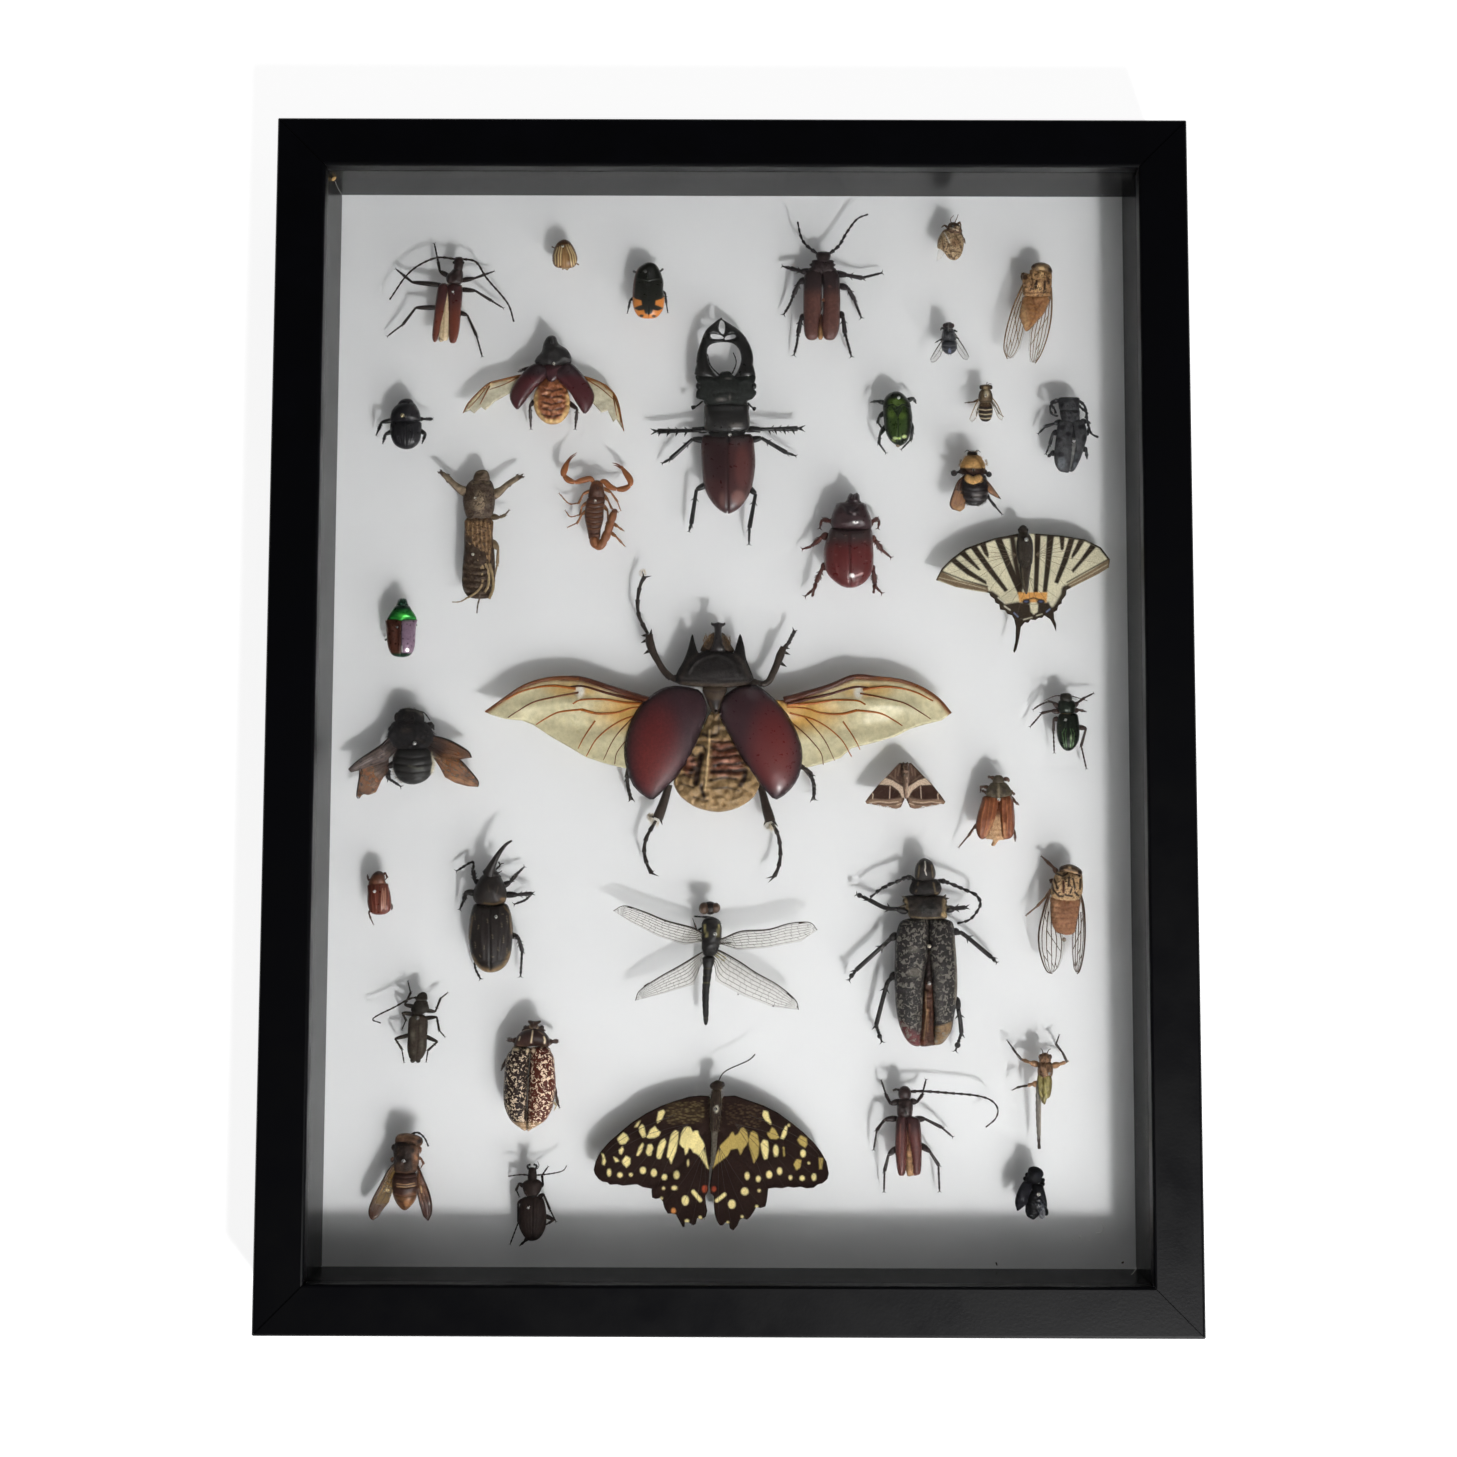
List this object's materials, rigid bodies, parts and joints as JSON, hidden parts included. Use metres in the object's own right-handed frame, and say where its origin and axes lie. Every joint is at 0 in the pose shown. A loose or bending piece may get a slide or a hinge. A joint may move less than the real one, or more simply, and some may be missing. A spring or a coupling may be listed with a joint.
{
  "type": "framed insect collection",
  "caption": "Glazed black shadow-box frame lying on its back, with dried beetles, butterflies, bees and other insects pinned in rows over a white board.",
  "frame": {"origin": "middle of the frame's back face", "axes": "+X to the frame's right as the insects are seen, +Y to the frame's top, +Z out of the glass"},
  "size_m": [0.32, 0.42, 0.042],
  "materials": {
    "black_wood": "satin black paint",
    "glass": "clear polished",
    "white_board": "matt white foam board",
    "black_spacer": "matt black",
    "hardboard": "matt brown hardboard",
    "tab_steel": "plain",
    "hanger_brass": "dull",
    "small_brown_longhorn_beetle": "dried insect shell, glossy",
    "potato_beetle": "dried insect shell, glossy",
    "spotted_chafer": "dried insect shell, glossy",
    "red_longhorn_beetle": "dried insect shell, glossy",
    "small_brown_bug": "dried insect shell, glossy",
    "small_cicada": "dried insect, dull",
    "blowfly": "dried insect, dull",
    "stag_beetle": "dried insect shell, glossy",
    "small_rhinoceros_beetle": "dried insect shell, glossy",
    "black_dung_beetle": "dried insect shell, glossy",
    "green_chafer": "dried insect shell, glossy",
    "honey_bee": "dried insect, dull",
    "grey_longhorn_beetle": "dried insect shell, glossy",
    "bumblebee": "dried insect, dull",
    "mole_cricket": "dried insect, dull",
    "scorpion": "dried insect shell, glossy",
    "red_rhinoceros_beetle": "dried insect shell, glossy",
    "swallowtail_butterfly": "dried insect, dull",
    "jewel_chafer": "dried insect shell, glossy",
    "atlas_beetle": "dried insect shell, glossy",
    "carpenter_bee": "dried insect, dull",
    "green_ground_beetle": "dried insect shell, glossy",
    "moth": "dried insect, dull",
    "cockchafer": "dried insect shell, glossy",
    "brown_chafer": "dried insect shell, glossy",
    "horned_beetle": "dried insect shell, glossy",
    "dragonfly": "dried insect, dull",
    "giant_longhorn_beetle": "dried insect shell, glossy",
    "large_cicada": "dried insect, dull",
    "dark_longhorn_beetle": "dried insect shell, glossy",
    "marbled_chafer": "dried insect shell, glossy",
    "long_antenna_beetle": "dried insect shell, glossy",
    "grasshopper": "dried insect, dull",
    "hornet": "dried insect, dull",
    "dark_ground_beetle": "dried insect shell, glossy",
    "lime_butterfly": "dried insect, dull",
    "blue_beetle": "dried insect shell, glossy"
  },
  "bodies": {
    "root": {"rail_top": "black_wood", "rail_bottom": "black_wood", "rail_left": "black_wood", "rail_right": "black_wood", "glass": "glass", "mounting_board": "white_board", "backing_board": "hardboard", "spacer_top": "black_spacer", "spacer_bottom": "black_spacer", "spacer_left": "black_spacer", "spacer_right": "black_spacer", "back_tab_1": "tab_steel", "back_tab_2": "tab_steel", "back_tab_3": "tab_steel", "back_tab_4": "tab_steel", "back_tab_5": "tab_steel", "back_tab_6": "tab_steel", "hanger": "hanger_brass", "hanger_nail_left": "hanger_brass", "hanger_nail_right": "hanger_brass", "small_brown_longhorn_beetle": "small_brown_longhorn_beetle", "potato_beetle": "potato_beetle", "spotted_chafer": "spotted_chafer", "red_longhorn_beetle": "red_longhorn_beetle", "small_brown_bug": "small_brown_bug", "small_cicada": "small_cicada", "blowfly": "blowfly", "stag_beetle": "stag_beetle", "small_rhinoceros_beetle": "small_rhinoceros_beetle", "black_dung_beetle": "black_dung_beetle", "green_chafer": "green_chafer", "honey_bee": "honey_bee", "grey_longhorn_beetle": "grey_longhorn_beetle", "bumblebee": "bumblebee", "mole_cricket": "mole_cricket", "scorpion": "scorpion", "red_rhinoceros_beetle": "red_rhinoceros_beetle", "swallowtail_butterfly": "swallowtail_butterfly", "jewel_chafer": "jewel_chafer", "atlas_beetle": "atlas_beetle", "carpenter_bee": "carpenter_bee", "green_ground_beetle": "green_ground_beetle", "moth": "moth", "cockchafer": "cockchafer", "brown_chafer": "brown_chafer", "horned_beetle": "horned_beetle", "dragonfly": "dragonfly", "giant_longhorn_beetle": "giant_longhorn_beetle", "large_cicada": "large_cicada", "dark_longhorn_beetle": "dark_longhorn_beetle", "marbled_chafer": "marbled_chafer", "long_antenna_beetle": "long_antenna_beetle", "grasshopper": "grasshopper", "hornet": "hornet", "dark_ground_beetle": "dark_ground_beetle", "lime_butterfly": "lime_butterfly", "blue_beetle": "blue_beetle"}
  },
  "joints": []
}
